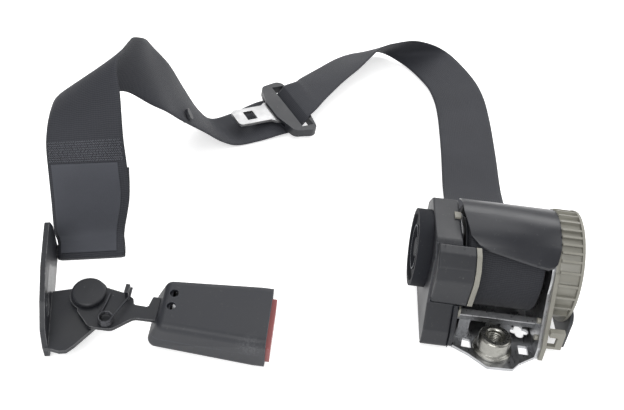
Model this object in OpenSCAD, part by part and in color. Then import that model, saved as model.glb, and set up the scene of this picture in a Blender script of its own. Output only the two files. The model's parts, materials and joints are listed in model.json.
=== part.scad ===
// Rear seat belt set: inertia reel with its belt, tongue, and anchor bracket with buckle.
// Millimetres, +Z up. The origin is on the reel's mounting nut, at the underside of the frame.
// +X runs along the spool towards the spring side, +Y is the way the belt leaves the reel.

/* [Webbing] */
// Width of the webbing
belt_w = 47; // [44:0.5:48]
// Thickness of the webbing
belt_t = 1.2; // [1:0.1:1.4]

/* [Reel frame] */
// Room between each edge of the webbing and the frame's wall
belt_room = 3; // [3:0.25:4]
// Thickness of the frame's steel sheet
sheet_t = 2; // [1.6:0.1:2.4]
// Length of the base plate behind the mounting nut
base_rear = 80; // [78:1:90]

/* [Mounting nut] */
// Radius of the nut's barrel
nut_r = 10; // [9:0.5:11]
// Height of the nut above the base plate
nut_h = 12; // [10:0.5:14]
// Radius of the thread's wall
thread_r = 5.2; // [4.5:0.1:6]

/* [Spool] */
// Radius of the spool's hub
hub_r = 9.5; // [8.5:0.5:11]
// Radius of the spool's end flanges
flange_r = 23; // [20:0.5:24.5]
// Radius of the spool's journals
journal_r = 7; // [6:0.25:8]
// Radius of the spindle through the spool
spindle_r = 4; // [3:0.25:4.5]
// Number of teeth on the locking wheel
tooth_count = 24; // [12:1:36]
// Radius of the locking wheel over its teeth
tooth_r = 19; // [17:0.5:20]

/* [Sensor side] */
// Thickness of the black sensor cover
cover_depth = 16.5; // [16:0.5:20]
// Wall of the moulded covers
cover_wall = 2; // [1.5:0.1:2.5]
// Radius of the round end cap
cap_r = 24.8; // [23:0.2:26]
// Thickness of the round end cap
cap_h = 9; // [7:0.5:11]
// Radius of the sensor's steel ball
ball_r = 4; // [3:0.25:4.5]

/* [Spring side] */
// Radius of the spring cover over its ribs
rib_r = 35.5; // [35:0.5:36.5]
// How far the ribs stand out of the spring cover
rib_h = 2.6; // [1.5:0.1:2.8]
// Thickness of a rib
rib_t = 1.5; // [1:0.1:2]
// Depth of the spring cover
spring_depth = 13.5; // [13:0.5:18]
// Thickness of the spring side's base plate
spring_plate_t = 2.5; // [2:0.1:3]

/* [Tongue] */
// Length of the tongue's slotted cover, across the belt
tongue_l = 72; // [70:1:76]
// Width of the tongue's blade
blade_w = 20; // [16:0.5:22]
// Reach of the blade out of the cover
blade_l = 38; // [34:1:44]
// Thickness of the tongue's steel plate
tongue_t = 2.4; // [2:0.1:3]

/* [Anchor bracket] */
// Height of the bracket's upright flange
flange_h = 35; // [32:1:40]
// Thickness of the bracket's steel
bracket_t = 3; // [2.5:0.1:3.5]
// Radius of the anchor bolt hole
bolt_r = 6.5; // [5:0.25:7]

/* [Buckle] */
// Length of the buckle's shell
buckle_l = 67; // [66:1:76]
// Width of the buckle's shell
buckle_w = 41; // [39:0.5:44]
// Height of the buckle's shell
buckle_h = 22; // [22:0.5:24]
// How far the button travels when it is pressed
button_travel = 6; // [4:0.5:8]
// Reach of the stalk from the pivot to the buckle
stalk_reach = 40; // [38:1:46]

/* [Hidden] */
$fn = 64;
// Clearances shared by every fit
gap = 0.3;      // between pieces that move past each other
fit = 0.05;     // radial running fit of a shaft in its hole
press = 0.02;   // pieces that sit tight in one another
past = 1;       // how far a cutter reaches past the face it cuts

black = [0.07, 0.07, 0.075];
dark = [0.16, 0.16, 0.17];
steel = [0.62, 0.63, 0.64];
zinc = [0.72, 0.71, 0.66];
beige = [0.83, 0.80, 0.70];
red = [0.72, 0.10, 0.10];
cloth = [0.17, 0.17, 0.18];

// Spool axis behind the mounting nut and above the frame's underside, with the radii round it:
// the left wall ends below the sensor cover, the right wall holds the flap clear of the full roll
spool_y = 45;
spool_z = 39.5;
left_r = 25;
wall_r = 33;
roll_r = wall_r - 1.5;

// Stack of the reel along the spool
wall_in = belt_w / 2 + belt_room;
wall_out = wall_in + sheet_t;
bush_flange = 1;
end_play = 0.4;
spool_half = wall_in - bush_flange - 2 * gap;
flange_t = spool_half - belt_w / 2 - end_play;
cover_in = -wall_out;
cover_out = cover_in - cover_depth;
cap_out = cover_out - cap_h;
spring_in = wall_out + spring_plate_t;
spring_out = spring_in + spring_depth;
spring_bore = rib_r - rib_h - 1.8;

// Spool and locking wheel
bush_r = journal_r + 2;
ratchet_x = -wall_out - 5;
ratchet_t = 3;
spindle_end = wall_out + 13;

// Locking pawl: pin placed round the spool axis, length of the arm, rest radius of its nose
pawl_reach = 32;
pawl_turn = 222;
pawl_arm = 20;
pawl_rest = tooth_r + 3.2;
pawl_pin_r = 2.5;
pawl_y = spool_y + pawl_reach * cos(pawl_turn);
pawl_z = spool_z + pawl_reach * sin(pawl_turn);
pawl_bend = acos((pawl_reach ^ 2 + pawl_arm ^ 2 - pawl_rest ^ 2) / (2 * pawl_reach * pawl_arm));

// Tie bar between the frame's walls
tie_y = 18;
tie_z = 12;
tie_rivet_r = 2.4;
tie_head = 1.2;

// Front strip of the spring plate, as [y, z], and the stakes that hold the plate to the wall
strip_foot = -4;
strip_top = [14.5, 55];
stake_at = [[9, 22], [5, 12]];
stake_r = 1.8;
wall_top = spool_z + wall_r + past;

// Sensor in the front box of the cover
box_in = cover_in + 10.5;
plate_t = 3;
shelf_z = 35;
shelf_t = 3;
shelf_y = 5.4;
box_back = spool_y - wall_r;
ball_x = cover_in - 5.5;
ball_y = 8.4;
seat_depth = 1.2;
lever_y = 14;
lever_z = shelf_z + shelf_t + 2 * ball_r + 1.6;
lever_t = 1.4;
lever_pin_r = 1;

// Anchor bracket: pivot of the buckle's stalk, tilt of the whole bracket, turn of its flange
pivot = [-244, -15, 9];
tilt = 14;
bracket_turn = 13;
bracket_z = 7;
bracket_end = 45.5;
flange_x = -25;
arm_at = [-1, 41, 3.7];
arm_size = [8, 3];
arm_lip = 2.1;
lip_t = 1.6;
arm_end = 18;
washer_t = 1;
rivet_r = 5;
head_r = 10;
head_h = 3.4;
head_edge = 1.6;

// Buckle and its stalk, measured from the pivot
buckle_y = -4;
stalk_z = bracket_z + bracket_t + washer_t;
stalk_t = 2.5;
stalk_w = 16;
stalk_in = stalk_reach + 22;
shell_z = 1;
shell_drop = 6;
shell_wall = 3.2;
shell_top = shell_z + buckle_h;
seam_z = shell_z + 9;
buckle_end = stalk_reach + buckle_l;
chan_z = stalk_z + stalk_t;
chan_t = 1.6;
chan_w = 26;
slot_z = chan_z + chan_t;
slot_top = shell_top - shell_wall;
button_w = buckle_w - 6.4;
button_l = 9.4;
button_out = 2.6;
button_z = shell_z - shell_drop + 4;
button_room = buckle_end - button_l - button_travel - past;
seat_x = button_room - 3;
seat_t = 1.6;
spring_y = 11.5;
spring_z = shell_z + 6;
spring_end = buckle_end - 5.4;
stalk_rivet_x = stalk_reach + 14;
stalk_rivet_r = 2;
ejector_x = stalk_reach + 27;
ejector_stop = stalk_reach + 17.2;
latch_x = stalk_reach + 28;
latch_l = 18;
latch_t = 2.4;

// Wire spring on the stalk
coil_at = [14, -16.6];
coil_r = 4;
wire_r = 0.7;
coil_turns = 2.5;
tab_x = 21;
tab_t = 2.4;
hook_x = tab_x + tab_t + wire_r + gap;

// Tongue's place on the belt: middle of its cover, heading of the blade, roll about the blade
tongue_at = [-157, 253, 11];
tongue_heading = 214;
tongue_roll = -8;
tongue_h = 7;
slot_x = -10;
slot_w = 10.8;
slot_l = belt_w + 10;
wing = belt_w / 2 - 1.5;
window = [9, 11];

// Helpers

function unit(v) = v / norm(v);
// Points of a rounded corner at b between a and c
function corner(a, b, c, r, n) =
    let (u = unit(a - b), v = unit(c - b), half = acos(u * v) / 2,
         d = r / tan(half), mid = b + unit(u + v) * r / sin(half),
         p = b + u * d - mid, q = b + v * d - mid,
         p_turn = atan2(p.y, p.x), q_turn = atan2(q.y, q.x),
         sweep = (q_turn - p_turn + 540) % 360 - 180)
    [for (i = [0:n]) mid + r * [cos(p_turn + sweep * i / n), sin(p_turn + sweep * i / n)]];
// Outline with its corners rounded; each point is [x, y, radius]
function rounded(pts, n = 6) =
    [for (i = [0:len(pts) - 1])
        let (a = pts[(i + len(pts) - 1) % len(pts)], b = pts[i], c = pts[(i + 1) % len(pts)])
        each corner([a.x, a.y], [b.x, b.y], [c.x, c.y], b.z, n)];

// Outline drawn as [y, z], extruded from x0 to x1
module along_x(x0, x1) translate([x0, 0, 0]) rotate([90, 0, 90]) linear_extrude(x1 - x0) children();
module round_x(x0, x1, r, y = spool_y, z = spool_z)
    translate([x0, y, z]) rotate([0, 90, 0]) cylinder(h = x1 - x0, r = r);
module round_z(z0, z1, r, x = 0, y = 0) translate([x, y, z0]) cylinder(h = z1 - z0, r = r);
module box(lo, hi) translate(lo) cube(hi - lo);
module at_pivot() translate(pivot) rotate([tilt, 0, 0]) children();
module at_bracket() at_pivot() rotate(bracket_turn) children();
module at_buckle() at_pivot() translate([0, buckle_y, 0]) children();
module at_tongue() translate(tongue_at) rotate(tongue_heading) rotate([tongue_roll, 0, 0]) children();
function turn_x(p, a) = [p.x, p.y * cos(a) - p.z * sin(a), p.y * sin(a) + p.z * cos(a)];
function turn_z(p, a) = [p.x * cos(a) - p.y * sin(a), p.x * sin(a) + p.y * cos(a), p.z];

// Closed skin through rings of points
module skin(rings) {
    n = len(rings);
    sides = len(rings[0]);
    walls = [for (i = [0:n - 2], k = [0:sides - 1])
        [i * sides + k, (i + 1) * sides + k, (i + 1) * sides + (k + 1) % sides, i * sides + (k + 1) % sides]];
    first = [for (k = [0:sides - 1]) k];
    last = [for (k = [sides - 1:-1:0]) (n - 1) * sides + k];
    polyhedron([for (ring = rings) each ring], concat([first], walls, [last]));
}
// Wire of radius r along points
function ring_at(path, i, r, sides) =
    let (a = path[max(i - 1, 0)], b = path[min(i + 1, len(path) - 1)], t = unit(b - a),
         side = abs(t.z) > 0.9 ? [1, 0, 0] : [0, 0, 1], u = unit(cross(t, side)), v = cross(t, u))
    [for (k = [0:sides - 1]) path[i] + r * (cos(360 * k / sides) * u + sin(360 * k / sides) * v)];
module wire(path, r, sides = 8) skin([for (i = [0:len(path) - 1]) ring_at(path, i, r, sides)]);
// Helix along X from x0 to x1 round the point [y, z]
function helix_x(x0, x1, r, turns, y, z, steps = 8) =
    [for (i = [0:turns * steps]) let (k = i / (turns * steps), a = 360 * turns * k)
        [x0 + (x1 - x0) * k, y + r * cos(a), z + r * sin(a)]];

// Route of the belt. Each station is its middle, the heading and the rise of the line
// across it, and its share of the full width.

function on_tongue(x, y, z) =
    let (p = tongue_at + turn_z(turn_x([x, y, z], tongue_roll), tongue_heading))
    [p.x, p.y, p.z, tongue_heading - 90, -tongue_roll, 1.05];
function on_arm(y, z, share) =
    let (p = pivot + turn_x(turn_z(arm_at + [0, y, z], bracket_turn), tilt))
    [p.x, p.y, p.z, atan2(sin(bracket_turn) * cos(tilt), cos(bracket_turn)),
     asin(sin(bracket_turn) * sin(tilt)), share];
route = [
    [0, spool_y + (roll_r + 0.9) * cos(45), spool_z + (roll_r + 0.9) * sin(45), 180, 0, 1],
    [0, 91, 39.5, 180, 0, 1], [1, 124, 16, 180, 0, 1], [3, 174, 2, 180, 0, 1], [5, 238, 1.5, 180, 0, 1],
    [5, 299, 3, 184, -4, 1], [2, 334, 5, 191, -8, 1], [-6, 366, 6, 197, -10, 1], [-27, 402, 9, 192, -17, 1],
    [-53, 406, 15, 153, -32, 1], [-73, 394, 17, 135, -34, 1], [-87, 384, 16, 133, -30, 1],
    [-97, 371, 14, 137, -24, 1], [-110, 352, 13, 143, -17, 1], [-124, 323, 14, 146, -9, 1],
    [-134.5, 291.5, 16, 138, 2, 0.95],
    on_tongue(-28, -6.5, 5.2), on_tongue(-16.6, -3.5, 4.8), on_tongue(-13, -2, 3), on_tongue(-7, -1, -3),
    on_tongue(-3.4, 0, -4.8), on_tongue(13, 1, -5),
    [-186, 232, 2, 131, 2, 1], [-202, 221, 1.5, 128, 1, 1],
    [-213, 212, 12, 127, 10, 1], [-224, 196, 34, 123, 23, 1], [-234, 173, 59, 116, 36, 1],
    [-244, 150, 82, 113, 48, 1], [-255, 128, 100, 70, 63, 0.8], [-266, 104, 105, 12, 52, 1],
    [-271, 84, 109, -2, 37, 1], [-267, 64, 102, -1, 20, 1], [-263, 48, 87, 6, 9, 1],
    [-259, 39, 70, 13, 3, 1], [-257, 35, 52, 16, 2, 1], [-257, 30, 33, 15, 2, 0.92],
    on_arm(3.6, 4.4, 0.86), on_arm(-5.4, 1.3, 0.86), on_arm(-2.3, -5, 0.86), on_arm(6, -3.5, 0.86),
    on_arm(12.6, 5.1, 0.86), [-257.5, 38.5, 49, 16, 2, 0.98], [-259, 43, 69, 13, 3, 1]];
function blend(a, b, c, d, t) =
    b + t * ((c - a) / 2 + t * ((2 * a - 5 * b + 4 * c - d) / 2 + t * (3 * b - a - 3 * c + d) / 2));
last_station = len(route) - 1;
function station(u) =
    let (v = max(0, min(u, last_station)), i = min(floor(v), last_station - 1))
    blend(route[max(i - 1, 0)], route[i], route[i + 1], route[min(i + 2, last_station)], v - i);
function middle(u) = let (s = station(u)) [s[0], s[1], s[2]];
function across(u) = let (s = station(u)) turn_z([cos(s[4]), 0, sin(s[4])], s[3]);
function facing(u) = unit(cross(middle(u + 0.02) - middle(u - 0.02), across(u)));
// Ribbon along the route from u0 to u1, between two heights over the middle of the cloth
function ribbon_ring(u, share, lo, hi) =
    let (m = middle(u), w = across(u) * belt_w / 2 * share * station(u)[5], n = facing(u))
    [m + w + n * lo, m + w + n * hi, m - w + n * hi, m - w + n * lo];
module ribbon(u0, u1, steps, share, lo, hi)
    skin([for (i = [0:steps]) ribbon_ring(u0 + (u1 - u0) * i / steps, share, lo, hi)]);
route_steps = 4 * last_station;
label_span = [32.75, 36.75];
label_share = 0.9;
label_t = 0.4;
label_gap = 0.1;
stop_u = 25.6;
stop_side = -15;
stop_r = 4.5;
stop_h = 2.4;
stop_lift = 0.6;
module webbing() color(cloth) ribbon(0, last_station, route_steps, 1, -belt_t / 2, belt_t / 2);
module belt_label() color(dark)
    ribbon(label_span[0], label_span[1], 4 * (label_span[1] - label_span[0]), label_share,
           belt_t / 2 + label_gap, belt_t / 2 + label_gap + label_t);
module belt_stop() color(black) {
    n = facing(stop_u);
    w = across(stop_u);
    v = cross(n, w);
    m = middle(stop_u) + w * stop_side;
    multmatrix([[w.x, v.x, n.x, m.x], [w.y, v.y, n.y, m.y], [w.z, v.z, n.z, m.z]])
        for (s = [0, 180]) rotate([s, 0, 0])
            round_z(belt_t / 2 + stop_lift, belt_t / 2 + stop_lift + stop_h, stop_r);
}

// Reel frame

// The left wall is cut back behind the sensor box, the right one follows the spring plate
left_front = [[-10, 0], [8, 8], [13, 20], [32, 50], [36, wall_top]];
right_front = [[-10, 0], [-10, wall_top]];
wall_heel = [[spool_y + 20, spool_z, 6], [base_rear - 4, 22, 6], [base_rear, 0, 0.5]];
module wall_outline(r, foot, front) intersection() {
    union() {
        translate([spool_y, spool_z]) circle(r);
        polygon(rounded(concat(foot, wall_heel)));
    }
    polygon(concat(front, [[base_rear + 20, wall_top], [base_rear + 20, 0]]));
}
module left_wall() wall_outline(left_r, [[4, 0, 0.5], [10, 9, 4], [spool_y - 20, spool_z, 6]], left_front);
module right_wall()
    wall_outline(wall_r, [[-1.5, 0, 0.5], [-2, 9, 3], [strip_top.x + 2, strip_top.y - 4, 6]], right_front);
module base_outline() polygon(rounded([
    [-wall_in, 1, 0.5], [-24, -0.5, 3], [-15, -6, 4], [-8, -12, 3], [-4, -15.5, 3], [11.5, -15, 3],
    [16, -9.5, 4], [wall_in, -2, 0.5], [wall_in, base_rear, 4], [-wall_in, base_rear, 4]]));
module clover(r) {
    for (a = [0:90:270]) rotate(a) translate([r * 0.62, 0]) circle(r * 0.5);
    circle(r / 2);
}
module base_holes() {
    translate([19.5, 20]) clover(5.5);
    translate([17, -1]) square([5.8, 7.6]);
    polygon([[-19, -0.5], [-12.6, -1], [-13, 6.5], [-17.5, 7.6]]);
    polygon(rounded([[-17, 46, 3], [17, 46, 3], [17, 66, 3], [-17, 66, 3]]));
}
spigot_r = thread_r + 1.8;
module stakes(x0, x1, r) for (p = stake_at) round_x(x0, x1, r, p.x, p.y);
module frame() color(steel) difference() {
    union() {
        linear_extrude(sheet_t) base_outline();
        along_x(-wall_out, -wall_in) left_wall();
        along_x(wall_in, wall_out) right_wall();
    }
    for (x = [-wall_out, wall_in]) round_x(x - past, x + sheet_t + past, bush_r);
    round_z(-past, sheet_t + past, spigot_r + press);
    translate([0, 0, -past]) linear_extrude(sheet_t + 2 * past) base_holes();
    round_x(-wall_out - past, -wall_in + past, pawl_pin_r + press, pawl_y, pawl_z);
    stakes(wall_in - past, wall_out + past, stake_r + press);
}
nut_top = sheet_t + nut_h;
module mount_nut() color(zinc) rotate_extrude()
    polygon([[thread_r, 0], [spigot_r, 0], [spigot_r, sheet_t], [nut_r + 2, sheet_t],
             [nut_r + 2, sheet_t + 2.2], [nut_r, sheet_t + 3], [nut_r, nut_top - 1], [nut_r - 1, nut_top],
             [thread_r + 1, nut_top], [thread_r, nut_top - 1]]);
module tie_bar() color(steel) {
    along_x(-wall_in, wall_in) translate([tie_y, tie_z])
        polygon(rounded([[-2, -3, 0.6], [3, -1, 0.6], [1.5, 4, 0.6], [-3, 2, 0.6]], 4));
    for (x = [-20, -3, 6]) translate([x, tie_y - 1.5, sheet_t]) cube([7, 1.8, tie_z - sheet_t]);
}
module frame_rivets() color(zinc)
    for (x = [-wall_out - tie_head, wall_out]) round_x(x, x + tie_head, tie_rivet_r, tie_y, tie_z);

// Spool

module spool() color(black) difference() {
    union() {
        round_x(-spool_half, spool_half, hub_r);
        for (x = [-spool_half, spool_half - flange_t]) round_x(x, x + flange_t, flange_r);
        round_x(ratchet_x - 1, wall_out + 1.2, journal_r);
    }
    round_x(-spindle_end, spindle_end, spindle_r + press);
}
module spindle() color(steel) round_x(-spindle_end, spindle_end, spindle_r);
// Bush in a wall, drawn for the wall that starts at x; its flange is on the spool's side
module spool_bush(x, flange_from) color(beige) difference() {
    union() {
        round_x(x, x + sheet_t, bush_r - press);
        round_x(flange_from, flange_from + bush_flange, bush_r + 2);
    }
    round_x(-spindle_end, spindle_end, journal_r + fit);
}
module webbing_roll() color(cloth) difference() {
    round_x(-belt_w / 2, belt_w / 2, roll_r);
    round_x(-belt_w, belt_w, hub_r + press);
}
function saw(n, r_tip, r_root) = [for (i = [0:n - 1], k = [0:2])
    let (a = 360 * (i + [0, 0.12, 0.9][k]) / n, r = [r_root, r_tip, r_root][k]) r * [cos(a), sin(a)]];
module ratchet_wheel() color(steel) difference() {
    along_x(ratchet_x, ratchet_x + ratchet_t) translate([spool_y, spool_z])
        polygon(saw(tooth_count, tooth_r, tooth_r - 3));
    round_x(ratchet_x - past, ratchet_x + ratchet_t + past, journal_r + press);
}
// The pawl's arm reaches from its pin to a nose just outside the teeth
module lock_pawl() color(dark) difference() {
    along_x(ratchet_x, ratchet_x + ratchet_t)
        translate([pawl_y, pawl_z]) rotate(pawl_turn + 180 - pawl_bend) {
            circle(5);
            polygon([[0, -4.6], [pawl_arm - 3, -3], [pawl_arm, 0], [pawl_arm - 3, 2.4], [0, 4.6]]);
        }
    round_x(ratchet_x - past, ratchet_x + ratchet_t + past, pawl_pin_r + fit, pawl_y, pawl_z);
}
module pawl_pin() color(steel) {
    round_x(ratchet_x - gap, -wall_in, pawl_pin_r, pawl_y, pawl_z);
    round_x(ratchet_x - gap - 1.4, ratchet_x - gap, pawl_pin_r + 1.5, pawl_y, pawl_z);
}

// Sensor side

cover_top = 65.5;
cover_pts = [[2, 1.5, 2], [-5, 3, 3], [-3, 14, 4], [4, 30, 3], [12, 60, 6], [22, cover_top, 6],
             [66, cover_top, 10], [78, 54, 8], [77, 12, 6], [68, 1.5, 3]];
box_pts = [[5, 30, 2], [3.5, 31, 1], [0.5, 50, 5], [3, 58, 4], [10, 64, 4], [20, 66, 2], [13.5, 53, 3],
           [box_back, 44, 3], [box_back, 30, 2]];
// Lower front edge of the cover, which laps over the front of the frame's wall
skirt_pts = [[-4.5, 3.2, 2], [3.2, 3.2, 1], [6.5, 9, 2], [7.5, 29, 2], [4, 30, 1], [-2.9, 14, 4]];
skirt_in = -wall_in + 1.4;
module cover_outline(inset = 0) offset(delta = -inset) polygon(rounded(cover_pts));
module box_outline(inset = 0) offset(delta = -inset) polygon(rounded(box_pts));
box_out = cover_out + 1.5;
box_end = box_in - plate_t;
module sensor_cover() color(black) difference() {
    union() {
        along_x(cover_out, cover_in) cover_outline();
        along_x(box_out, box_end) box_outline();
        along_x(cover_in - cover_wall, skirt_in) polygon(rounded(skirt_pts));
    }
    along_x(cover_out + cover_wall, cover_in + past) cover_outline(cover_wall);
    along_x(box_out + cover_wall, box_end + past) box_outline(cover_wall);
    box([ball_x - 6, box_back - cover_wall - past, shelf_z - past], [cover_in, lever_y + 3, lever_z + 4]);
}
module end_cap() color(black) {
    difference() {
        round_x(cap_out, cover_out, cap_r);
        round_x(cap_out - past, cap_out + 2, cap_r - 3.2);
        round_x(cap_out - past, cap_out + 4, cap_r / 2);
    }
    difference() {
        round_x(cap_out + 0.6, cap_out + 2, cap_r / 2 + 1.8);
        round_x(cap_out - past, cap_out + 2 + past, cap_r / 2 + 1);
    }
    round_x(cap_out + 1.4, cap_out + 4, cap_r / 4);
}
module sensor_carrier() color(beige) difference() {
    union() {
        along_x(box_end, box_in) box_outline();
        box([ball_x - 5, shelf_y, shelf_z], [cover_in, lever_y + 1.4, shelf_z + shelf_t]);
        box([cover_in, shelf_y, shelf_z], [box_end, box_back - cover_wall - gap, shelf_z + shelf_t]);
        for (x = [ball_x - 4.6, ball_x + 3])
            box([x, lever_y - 1.6, shelf_z], [x + 1.6, lever_y + 1.4, lever_z + 1.6]);
    }
    translate([ball_x, ball_y, shelf_z + shelf_t - seat_depth])
        cylinder(h = seat_depth + past, r1 = 1.5, r2 = 5);
    round_x(ball_x - 6, ball_x + 6, lever_pin_r + fit, lever_y, lever_z);
}
module sensor_ball() color(steel)
    translate([ball_x, ball_y, shelf_z + shelf_t - seat_depth + ball_r + gap]) sphere(ball_r);
module sensor_lever() color(beige) {
    box([ball_x - 2, ball_y - 4, lever_z - lever_t / 2], [ball_x + 2, lever_y, lever_z + lever_t / 2]);
    round_z(lever_z - lever_t / 2, lever_z + lever_t / 2, 4, ball_x, ball_y);
    round_x(ball_x - 4.6, ball_x + 4.6, lever_pin_r, lever_y, lever_z);
}
clip_l = 4;
clip_t = 1.4;
module cover_clips() color(beige) {
    box([cover_in - clip_l, 44, cover_top], [cover_in, 50, cover_top + clip_t]);
    box([skirt_in, 3, 22], [skirt_in + clip_t, 7, 28]);
}

// Spring side

module spring_plate() color(beige) {
    plate_sheet();
    stakes(wall_in - stake_r, wall_out, stake_r);
    box([spring_in, strip_foot + 1, 20], [spring_in + 9, 1, 24]);
    box([spring_in + 5, strip_foot + 1, 11], [spring_in + 9, 0, 20]);
    box([spring_in, strip_foot + 1, 11], [spring_in + 5, 0, 13]);
}
module plate_sheet() difference() {
    along_x(wall_out, spring_in) {
        translate([spool_y, spool_z]) circle(wall_r - 0.2);
        polygon(rounded([[strip_foot, 1, 1], [strip_foot, 11, 4], [strip_top.x, strip_top.y, 2],
                         [strip_top.x + 14, strip_top.y, 2], [70, spool_z, 8], [66, 1, 3]]));
    }
    round_x(wall_out - past, spring_in + past, journal_r + 1.5);
    round_x(wall_out - past, spring_in + past, tie_rivet_r + gap, tie_y, tie_z);
}
// Close ribs over the top, wider ones down the front and the rear
rib_turns = concat([for (i = [0:4]) 105 + 8.5 * i], [for (i = [0:4]) 150.5 + 13.5 * i],
                   [for (i = [1:9]) 105 - 11.5 * i]);
module spring_cover() color(beige) difference() {
    union() {
        round_x(spring_in, spring_out, rib_r - rib_h);
        for (a = rib_turns) translate([spring_in, spool_y, spool_z]) rotate([a, 0, 0])
            translate([0, 0, -rib_t / 2]) cube([spring_depth - past, rib_r - gap, rib_t]);
        round_x(spring_out - 1.6, spring_out, rib_r);
    }
    round_x(spring_in - past, spring_out - 1.8, spring_bore);
}
module spring_lid() color(black) along_x(spring_out, spring_out + 2) {
    translate([spool_y, spool_z]) circle(rib_r - 8);
    polygon(rounded([[10, 1, 2], [8.5, 28, 6], [66, 30, 6], [62, 1, 2]]));
}
module spring_arbor() color(black) difference() {
    round_x(spring_in + 2, spindle_end, journal_r);
    round_x(spring_in, spindle_end + past, spindle_r + press);
}
spiral_turns = 8;
spiral_steps = 24;
spiral_t = 0.9;
spiral_in = journal_r + gap;
function spiral(off) = [for (i = [0:spiral_turns * spiral_steps])
    let (k = i / (spiral_turns * spiral_steps), a = 360 * spiral_turns * k,
         r = spiral_in + (spring_bore - spiral_t - gap - spiral_in) * k + off) r * [cos(a), sin(a)]];
module power_spring() color(steel) along_x(spring_in + 3, spring_out - 3.5) translate([spool_y, spool_z])
    polygon(concat(spiral(0), [for (i = [spiral_turns * spiral_steps:-1:0]) spiral(spiral_t)[i]]));
// Flexible flap over the roll, cut away towards the sensor side
flap_from = 52;
flap_to = 152;
flap_t = 1;
flap_left = -wall_out + gap;
flap_right = spring_in - gap;
module roll_flap() color(dark) difference() {
    translate([flap_left, spool_y, spool_z]) rotate([0, 90, 0]) rotate(90 + flap_from)
        rotate_extrude(angle = flap_to - flap_from)
            translate([wall_r + gap, 0]) square([flap_t, flap_right - flap_left]);
    linear_extrude(100) polygon([[-30, 48], [-28, 41], [-26.2, 33], [-24, 25.6], [-18.6, 21.4], [-12.4, 19.8],
                                 [0, 18.2], [14, 16.6], [24, 15.8], [27, 16.4], [29, 18], [30, 21], [31, 26],
                                 [40, 26], [40, 0], [-40, 0]]);
}

// Anchor bracket and the stalk's pivot

module anchor_bracket() color(black) at_bracket() difference() {
    union() {
        along_x(flange_x, flange_x + bracket_t)
            polygon(rounded([[-32, 0, 1], [-32, 10, 2], [-28, flange_h - 14, 4], [-14, flange_h - 6, 6],
                             [6, flange_h, 6], [bracket_end - 6, flange_h, 5],
                             [bracket_end, flange_h - 12, 4], [bracket_end, 0, 3]]));
        translate([0, 0, bracket_z]) linear_extrude(bracket_t) {
            circle(11);
            polygon([[flange_x, -32], [-21, -33], [-16, -35], [-12, -35], [-8, -32], [5, -19], [13, -7.5],
                     [8, 9], [flange_x, 6]]);
        }
        translate([0, arm_at.y - arm_size[0] / 2, arm_at.z - arm_size[1] / 2])
            box([flange_x, 0, 0], [arm_end, arm_size[0], arm_size[1]]);
        box([arm_end, arm_at.y - arm_lip, arm_at.z - arm_lip],
            [arm_end + lip_t, arm_at.y + arm_lip, arm_at.z + arm_lip]);
    }
    round_z(bracket_z - past, bracket_z + bracket_t + past, rivet_r + press);
    round_x(flange_x - past, flange_x + bracket_t + past, bolt_r, -10, 20);
}
module pivot_washer() color(steel) at_pivot() difference() {
    round_z(bracket_z + bracket_t, stalk_z, head_r);
    round_z(bracket_z, stalk_z + past, rivet_r + press);
}
module pivot_rivet() color(black) at_pivot() {
    head_z = stalk_z + stalk_t + gap;
    round_z(bracket_z - 1.5, bracket_z, rivet_r + 2.5);
    round_z(bracket_z, head_z, rivet_r);
    translate([0, 0, head_z]) rotate_extrude()
        polygon(concat([[0, 0], [head_r - 1, 0], [head_r, 1], [head_r, head_h - head_edge]],
                       [for (a = [15:15:90])
                           [head_r, head_h] + head_edge * [cos(a) - 1, sin(a) - 1]],
                       [[0, head_h + head_edge / 4]]));
}
coil_z = stalk_z + stalk_t + wire_r + gap;
coil_pitch = 2 * wire_r + 0.2;
coil_top = coil_z + coil_pitch * coil_turns;
module wire_spring() color(dark) at_pivot() wire(concat(
    [for (p = [[head_r + 2, 2], [head_r + 1.4, -4], [10.2, -10.5]]) [p.x, p.y, coil_z]],
    [for (i = [0:10 * coil_turns]) let (a = 180 + 36 * i)
        [coil_at.x + coil_r * cos(a), coil_at.y + coil_r * sin(a), coil_z + coil_pitch * i / 10]],
    [for (p = [[19, -14], [21.5, -8], [hook_x, -1], [hook_x, 5]]) [p.x, p.y, coil_top]]),
    wire_r);
module stalk_rivet_holes(z0, z1) for (s = [-1, 1])
    round_z(z0, z1, stalk_rivet_r + press, stalk_rivet_x, buckle_y + 5 * s);
module buckle_stalk() color(black) at_pivot() difference() {
    union() {
        translate([0, 0, stalk_z]) linear_extrude(stalk_t) {
            circle(11);
            polygon(rounded([[-4, -12, 3], [5, -21.5, 4], [18, -21.5, 5], [29, buckle_y - stalk_w / 2, 6],
                             [stalk_in, buckle_y - stalk_w / 2, 1], [stalk_in, buckle_y + stalk_w / 2, 1],
                             [37, buckle_y + stalk_w / 2, 1], [35.5, buckle_y + 0.5, 1.5],
                             [27, buckle_y + 1, 2], [26, 1, 1.5], [21, 4, 2], [-4, 9, 3]]));
        }
        box([tab_x, 0, stalk_z], [tab_x + tab_t, 6, coil_top + 2]);
    }
    round_z(stalk_z - past, stalk_z + stalk_t + past, rivet_r + fit);
    stalk_rivet_holes(stalk_z - past, stalk_z + stalk_t + past);
}

// Buckle

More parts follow.
